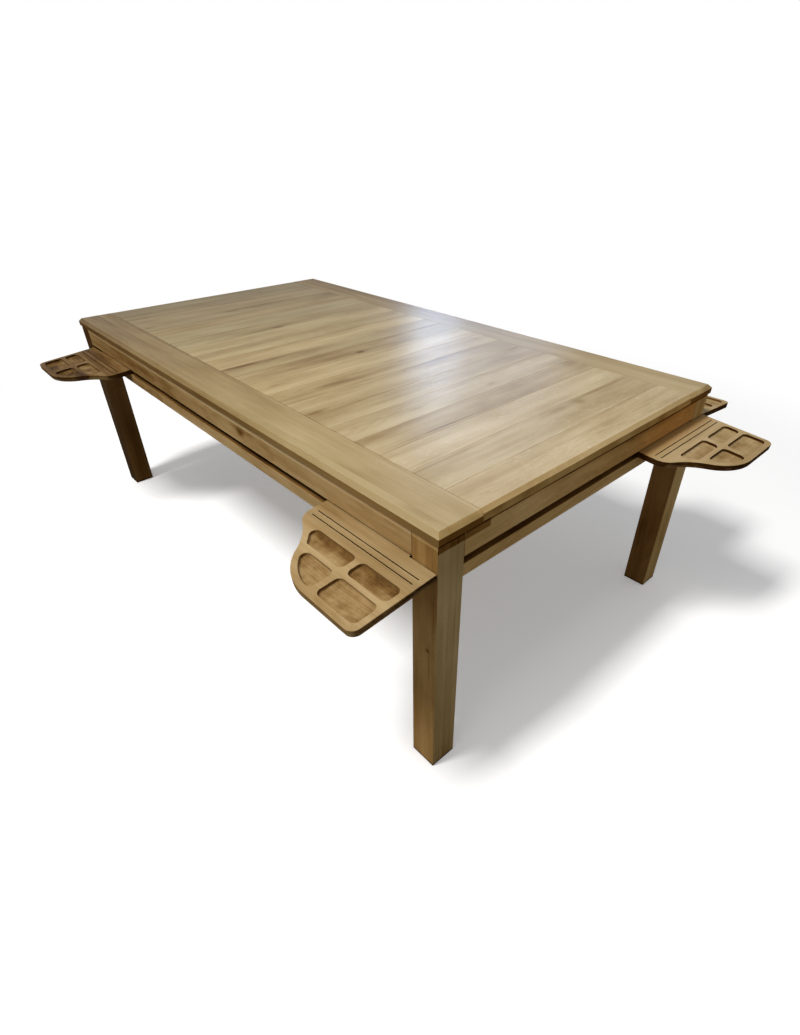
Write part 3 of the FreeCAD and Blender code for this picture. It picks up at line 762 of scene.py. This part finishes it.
# Painted shade on the legs' front faces, darkest on the front left and back right legs.
FRONT_PAINTED_SHADE = {"leg_back_right": (0.50, 0.38, 0.30, 1), "leg_front_left": (0.36, 0.42, 0.60, 1)}
USUAL_FRONT_PAINTED_SHADE = (1.0, 0.86, 0.72, 1)
# Heights between which the painted shade of a leg's front face weakens to half.
PAINTED_SHADE_WEAKENS = (0.60, 0.72)
# The painted shadow strip below the overhang on the right end, next to the front corner.
RIGHT_END = 0.9
STRIP_HEIGHT = 21 * MM
STRIP_LENGTH = 162 * MM
STRIP_PAINTED_SHADOW = 0.38
STRIP_PAINTED_SHADOW_COLOUR = (0.72, 0.55, 0.32, 1)
# The painted shadow line below the overhang, and the painted light band that the front has instead.
LINE_HEIGHT = 5 * MM
LINE_PAINTED_SHADOW = 0.50
BAND_HEIGHT = 11 * MM
FRONT_BAND_PAINTED_LIGHT = -0.28


def leg_painted_shade(name):
    """The front face gets a warmer, darker brown as painted shade, less so at the top. By the front right
    corner, the strip below the overhang on the right face is a deep brown painted shadow.
    """
    strip_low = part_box(name)[1].z - STRIP_HEIGHT
    colour = FRONT_PAINTED_SHADE.get(name, USUAL_FRONT_PAINTED_SHADE)

    def stain_and_painted_light(finish):
        amount = 1 - finish.xyz[2].between(*PAINTED_SHADE_WEAKENS) * 0.5
        on_front = finish.on_front() * amount
        if name != "leg_front_right":
            return on_front, colour
        strip = finish.on_right() * (finish.xyz[2] > strip_low)
        return finish.larger(on_front, strip), finish.blend(strip, colour, STRIP_PAINTED_SHADOW_COLOUR)
    return stain_and_painted_light


def painted_overhang_shadow(finish, shade):
    """A painted shadow line below the overhang, a painted light band instead on the front, and a painted
    shadow strip on the right end next to the front corner.
    """
    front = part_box("leg_front_right")[0].y
    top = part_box("leg_front_right")[1].z
    height = finish.xyz[2]
    right_end = finish.on_right() * (finish.xyz[0] > RIGHT_END)
    by_corner = 1 - finish.xyz[1].between(front + STRIP_LENGTH - 4 * MM, front + STRIP_LENGTH)
    below_top = height.between(top - STRIP_HEIGHT - 2 * MM, top - STRIP_HEIGHT)
    on_front = finish.on_front()
    line = height.between(top - LINE_HEIGHT - 1 * MM, top - LINE_HEIGHT)
    line = line * finish.upright() * (1 - on_front)
    band = height.between(top - BAND_HEIGHT - 3 * MM, top - BAND_HEIGHT) * on_front
    return (shade + right_end * by_corner * below_top * STRIP_PAINTED_SHADOW + line * LINE_PAINTED_SHADOW
            + band * FRONT_BAND_PAINTED_LIGHT)


FAR_STAIN = (0.92, 0.75, 0.56, 1)
# Between which places along Y the right end turns redder.
FAR_STAIN_STARTS = (-0.45, 0.5)
# Painted shade inside the slot, where little light gets in.
SLOT_EDGE = 0.4 * MM
SLOT_PAINTED_SHADE = 0.42
# Between which places along X the painted shade on the front boards' left end fades.
BOARD_PAINTED_SHADE_FADES = (-1.1, 0.5)
BOARD_LEFT_PAINTED_SHADE = 0.20
BOARD_FRONT_PAINTED_SHADE = -0.01


def far_stain(finish):
    """The right end is a redder brown towards the back."""
    return finish.xyz[1].between(*FAR_STAIN_STARTS), FAR_STAIN


def slot_and_board_painted_shade(finish, shade):
    """Painted shade: dark inside the slot, and on the front boards towards the left end."""
    slot_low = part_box("slot_rail_front")[1].z
    slot_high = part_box("apron_front")[0].z
    height = finish.xyz[2]
    inside = (height > slot_low - SLOT_EDGE) * (1 - (height > slot_high + SLOT_EDGE))
    left_end = 1 - finish.xyz[0].between(*BOARD_PAINTED_SHADE_FADES)
    front_painted_shade = left_end * BOARD_LEFT_PAINTED_SHADE + BOARD_FRONT_PAINTED_SHADE
    return painted_overhang_shadow(finish, shade + inside * SLOT_PAINTED_SHADE + finish.on_front() * front_painted_shade)


BOARD_TINT = (1.14, 1.02, 0.94)
# The right end's boards are brightened as painted light, where little light falls on them.
RIGHT_BOARD_PAINTED_LIGHT = (1.64, 1.38, 1.08)
FRAME_MARKS = {"apron_front": ((0.0, 0.28, 0.010, 0.020, 0.40), (0.014, 0.30, 0.008, 0.060, 0.22))}


def dress_legs():
    for seed, name in enumerate(nodes_named("leg_")):
        dress(NODES[name], wood("wood_" + name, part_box(name), 2, 300 + seed, base=0.36,
                                tint=LEG_TINT_AND_PAINTED_LIGHT[name], gloss=0.015, roughness=0.5,
                                marks=LEG_MARKS.get(name, ()), change=leg_glue_and_painted_shade(name),
                                stain_and_painted_light=leg_painted_shade(name)))


def dress_boards():
    """The aprons, slot rails, slot backs, rim boards and well walls."""
    boards = nodes_named("apron_", "slot_rail_", "slot_back_", "rim_", "well_wall_")
    boards = [name for name in boards if not name.endswith("_dowels")]
    for seed, name in enumerate(boards):
        far = name == "apron_right"
        dress(NODES[name], wood("wood_" + name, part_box(name), wood_run(name), 400 + seed,
                                base=0.40 if name.startswith("slot_rail") else 0.44,
                                tint=RIGHT_BOARD_PAINTED_LIGHT if name.endswith("_right") else BOARD_TINT,
                                gloss=0.015, roughness=0.48, marks=FRAME_MARKS.get(name, ()),
                                flecks=0.14 if far else 0, change=slot_and_board_painted_shade,
                                stain_and_painted_light=far_stain if far else None))


TRAY_DROOP_DEGREES = 5.297
# The axis that points out of the frame at each tray, and its sign.
OUTWARD = {"tray_front_left": (1, -1), "tray_front_right": (1, -1), "tray_right_end": (0, 1),
           "tray_back_right": (1, 1)}
# How far out from the tongue's inner edge the grooves end, and the two rows of pockets part.
GROOVES_END = 0.100
POCKETS_APART = (0.155, 0.168)
# How far below the top face the pockets' walls and floors, the grooves and the lower edges lie.
WALL_DEPTHS = ((0.6 * MM, 2 * MM), (2 * MM, 9 * MM))
FLOOR_DEPTHS = ((3.0 * MM, 9.9 * MM), (10.4 * MM, 11 * MM))
GROOVE_DEPTHS = (0.8 * MM, 6 * MM)
EDGE_DEPTHS = (10.6 * MM, 12 * MM)
# How dark each tray is; the front left tray's darker tone is painted shade, as on the top's left end.
TRAY_BASE = {"tray_front_left": 0.79, "tray_front_right": 0.42, "tray_right_end": 0.22,
             "tray_back_right": 0.36}
TRAY_TINT = {"tray_front_left": (0.92, 0.91, 0.97)}
USUAL_TRAY_TINT = (1.00, 0.94, 0.94)
# Painted shade: how much darker the inner and the outer row of pockets' floors are, the walls and the
# edges.
POCKET_PAINTED_SHADE = {"tray_front_left": (0.08, 0.08), "tray_front_right": (0.34, 0.12),
                "tray_right_end": (0.12, 0.12), "tray_back_right": (0.14, 0.14)}
WALL_PAINTED_SHADE = {"tray_front_left": 0.20, "tray_front_right": 0.12, "tray_right_end": 0.22,
              "tray_back_right": 0.20}
# A negative edge value is painted light.
EDGE_PAINTED_SHADE = {"tray_front_left": -0.06, "tray_front_right": 0.06, "tray_right_end": 0.50,
              "tray_back_right": 0.40}
# Painted shade in the grooves and on the trays' lower edges.
GROOVE_PAINTED_SHADE = 0.45
BELOW_PAINTED_SHADE = 0.06
MOTTLE_SHADE = 0.8
MOTTLE_WAVES = (24, 24, 24)
# Painted shade next to the frame, a darker brown, and between which distances from the inner edge it
# fades.
INNER_PAINTED_SHADE = {"tray_right_end": (0.80, 0.64, 0.42, 1), "tray_front_right": (0.83, 0.82, 0.80, 1)}
INNER_PAINTED_SHADE_FADES = {"tray_right_end": (0.045, 0.095), "tray_front_right": (0.090, 0.135)}


def distance_out(finish, name):
    """How far out from the inner edge of its tongue a place on a tray is."""
    low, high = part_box(name)
    axis, sign = OUTWARD[name]
    inner = low[axis] if sign > 0 else high[axis]
    return (finish.xyz[axis] - inner) * sign


def tray_mottle_and_painted_shade(name):
    """Painted shade on the edges, walls, grooves and pocket floors, with the wood's own mottle on the
    floors, by the depth below the top face.
    """
    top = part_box(name)[1].z
    axis = OUTWARD[name][0]
    slope = math.tan(math.radians(TRAY_DROOP_DEGREES))

    def change(finish, shade):
        outward = distance_out(finish, name)
        sunk = (top - outward * slope) - finish.xyz[2]
        wall = sunk.between(*WALL_DEPTHS[0]) * (1 - sunk.between(*WALL_DEPTHS[1]))
        floor = sunk.between(*FLOOR_DEPTHS[0]) * (1 - sunk.between(*FLOOR_DEPTHS[1]))
        groove = (outward < GROOVES_END) * (sunk > GROOVE_DEPTHS[0]) * (1 - (sunk > GROOVE_DEPTHS[1]))
        inner_pocket, outer_pocket = POCKET_PAINTED_SHADE[name]
        pocket = inner_pocket + outward.between(*POCKETS_APART) * (outer_pocket - inner_pocket)
        mottle = finish.noise(finish.place, MOTTLE_WAVES, axis + 3.3, 3.0, 0.6)
        upright = finish.upright(0.25, 0.85)
        below = sunk.between(*EDGE_DEPTHS)
        return (shade + wall * WALL_PAINTED_SHADE[name] + floor * ((mottle - 0.5) * MOTTLE_SHADE + pocket)
                + upright * EDGE_PAINTED_SHADE[name] + below * BELOW_PAINTED_SHADE + groove * GROOVE_PAINTED_SHADE)
    return change


def tray_inner_painted_shade(name):
    """Two of the trays get painted shade next to the frame, a darker brown."""
    if name not in INNER_PAINTED_SHADE:
        return None

    def stain_and_painted_light(finish):
        return 1 - distance_out(finish, name).between(*INNER_PAINTED_SHADE_FADES[name]), INNER_PAINTED_SHADE[name]
    return stain_and_painted_light


def dress_trays():
    for seed, name in enumerate(nodes_named("tray_")):
        ease_arrises(NODES[name], TRAY_EASE, weld=True)
        dress(NODES[name], wood("wood_" + name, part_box(name), wood_run(name), 500 + seed, rings=0.06,
                                base=TRAY_BASE[name], tint=TRAY_TINT.get(name, USUAL_TRAY_TINT),
                                streaks=1.1, roughness=0.45, gloss=0.02, change=tray_mottle_and_painted_shade(name),
                                stain_and_painted_light=tray_inner_painted_shade(name)))


def dress_inside():
    blocks = nodes_named("corner_block_f", "corner_block_b", "floor_bearer", "topper_batten")
    for seed, name in enumerate(blocks):
        dress(NODES[name], wood("wood_" + name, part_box(name), wood_run(name), 600 + seed,
                                base=0.34, roughness=0.62, gloss=0.3))
    dowels = ("apron_dowels", "slot_rail_dowels", "slot_back_dowels", "bearer_dowels")
    for seed, name in enumerate(dowels):
        dress(NODES[name], wood("wood_" + name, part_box(name), wood_run(name), 700 + seed,
                                base=0.2, roughness=0.6, gloss=0.3))
    dress(NODES["well_floor"], plywood("birch_plywood", 3))
    mat = dress(NODES["play_mat"], cloth("green_play_cloth", screen(24, 78, 56), screen(52, 120, 88), 5))
    dress(NODES["topper_pads"], cloth("brown_felt", screen(66, 54, 44), screen(112, 96, 80), 6))
    steel = zinc("zinc_plated_steel", 7)
    for name in ("floor_screws", "corner_block_screws", "hanger_bolts", "bolt_washers", "bolt_nuts",
                 "batten_screws"):
        dress(NODES[name], steel)
    glide = nylon("nylon_glide", 8)
    for name in nodes_named("foot_glide"):
        dress(NODES[name], glide)


# ---- camera, light and floor ----

def add_camera():
    data = bpy.data.cameras.new("camera")
    data.sensor_fit = "AUTO"
    data.sensor_width = SENSOR
    data.lens = SENSOR * FOCAL_LENGTH_PIXELS / IMAGE_HEIGHT
    data.shift_x = (IMAGE_WIDTH / 2 - MIDDLE_PIXEL[0]) / IMAGE_HEIGHT
    data.shift_y = (MIDDLE_PIXEL[1] - IMAGE_HEIGHT / 2) / IMAGE_HEIGHT
    camera = bpy.data.objects.new("camera", data)
    camera.location = EYE_PLACE
    camera.rotation_euler = [math.radians(turn) for turn in EYE_TURN_DEGREES]
    bpy.context.scene.collection.objects.link(camera)
    bpy.context.scene.camera = camera


def add_lamp(name, place, direction, energy, colour):
    """An area lamp that the camera doesn't see."""
    data = bpy.data.lights.new(name, "AREA")
    data.energy = energy
    data.color = colour
    lamp = bpy.data.objects.new(name, data)
    lamp.location = place
    lamp.rotation_mode = "QUATERNION"
    lamp.rotation_quaternion = direction.to_track_quat("-Z", "Y")
    lamp.visible_camera = False
    bpy.context.scene.collection.objects.link(lamp)
    return lamp


def add_key():
    """The main lamp, high in front, long enough to soften the shadow's front edge."""
    direction = Vector(KEY_AIM) - Vector(KEY_PLACE)
    energy = KEY_IRRADIANCE * math.pi * direction.length_squared
    lamp = add_lamp("key", KEY_PLACE, direction, energy, KEY_COLOUR)
    lamp.data.shape = "RECTANGLE"
    lamp.data.size, lamp.data.size_y = KEY_SIZE
    lamp.visible_glossy = False


def add_softbox():
    """A large soft lamp above the front right corner."""
    direction = Vector(SOFTBOX_AIM) - Vector(SOFTBOX_PLACE)
    energy = SOFTBOX_GLOW * math.pi * SOFTBOX_SIZE ** 2
    lamp = add_lamp("softbox", SOFTBOX_PLACE, direction, energy, SOFTBOX_COLOUR)
    lamp.data.size = SOFTBOX_SIZE


def add_panel(name, pixels, glow, colour):
    """A glowing panel that only shows as a reflection in the top, over a rectangle of the image."""
    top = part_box("topper_planks")[1].z
    left, upper, right, lower = pixels
    turn = bpy.context.scene.camera.rotation_euler.to_matrix()
    across = (left + right) / 2 - MIDDLE_PIXEL[0]
    up = MIDDLE_PIXEL[1] - (upper + lower) / 2
    ray = turn @ Vector((across, up, -FOCAL_LENGTH_PIXELS))
    ray.z = -ray.z
    ray.normalize()
    mirrored_eye = Vector((EYE_PLACE[0], EYE_PLACE[1], 2 * top - EYE_PLACE[2]))
    width = PANEL_DISTANCE * (right - left) / FOCAL_LENGTH_PIXELS
    height = PANEL_DISTANCE * (lower - upper) / FOCAL_LENGTH_PIXELS
    energy = glow * math.pi * width * height
    lamp = add_lamp(name, mirrored_eye + ray * PANEL_DISTANCE, -ray, energy, colour)
    lamp.data.shape = "RECTANGLE"
    lamp.data.size = width
    lamp.data.size_y = height
    lamp.visible_diffuse = False


def seen_rays(tree):
    """1 for rays from the camera and for those of reflections and glass, 0 for the light's own."""
    camera = tree.node("ShaderNodeLightPath", output="Is Camera Ray")
    glossy = tree.node("ShaderNodeLightPath", output="Is Glossy Ray")
    through = tree.node("ShaderNodeLightPath", output="Is Transmission Ray")
    return tree.larger(camera, tree.larger(glossy, through))


def add_world():
    """A faint even fill, seen as plain white."""
    world = bpy.data.worlds.new("studio")
    bpy.context.scene.world = world
    sky = NodeTree(world)
    fill = sky.node("ShaderNodeBackground", None, {"Color": WHITE, "Strength": SKY_FILL})
    white = sky.node("ShaderNodeBackground", None, {"Color": WHITE, "Strength": 1.0})
    shown = sky.node("ShaderNodeMixShader", None, {0: seen_rays(sky), 1: fill, 2: white})
    sky.node("ShaderNodeOutputWorld", None, {"Surface": shown})


def add_floor():
    """A white floor that keeps the table's shadow, and throws a little light back up."""
    finish = Finish("studio_floor")
    pale = finish.node("ShaderNodeBsdfDiffuse", None, {"Color": FLOOR_COLOUR})
    lift = finish.node("ShaderNodeEmission", None, {"Color": WHITE, "Strength": FLOOR_LIFT})
    lit = finish.node("ShaderNodeAddShader", None, {0: pale, 1: lift})
    white = finish.node("ShaderNodeEmission", None, {"Color": WHITE, "Strength": 1.0})
    x, y, _ = finish.xyz
    far = ((x * x + y * y) ** 0.5).between(*FLOOR_TURNS_WHITE)
    studio = finish.node("ShaderNodeMixShader", None, {0: far, 1: lit, 2: white})
    bounce = finish.node("ShaderNodeBsdfDiffuse", None, {"Color": FLOOR_BOUNCE})
    shown = finish.node("ShaderNodeMixShader", None, {0: seen_rays(finish), 1: bounce, 2: studio})
    finish.node("ShaderNodeOutputMaterial", None, {"Surface": shown})
    mesh = bpy.data.meshes.new("studio_floor")
    corners = [(x * FLOOR_HALF, y * FLOOR_HALF, 0) for x, y in ((-1, -1), (1, -1), (1, 1), (-1, 1))]
    mesh.from_pydata(corners, [], [(0, 1, 2, 3)])
    floor = bpy.data.objects.new("studio_floor", mesh)
    floor.data.materials.append(finish.material)
    bpy.context.scene.collection.objects.link(floor)


add_camera()
add_key()
add_softbox()
add_panel("window", WINDOW_PIXELS, WINDOW_GLOW, WINDOW_COLOUR)
add_panel("open_wall", WALL_PIXELS, WALL_GLOW, WALL_COLOUR)
add_world()
add_floor()
dress_planks()
dress_breadboards()
dress_legs()
dress_boards()
dress_trays()
dress_inside()

bpy.context.scene.view_settings.view_transform = "Standard"
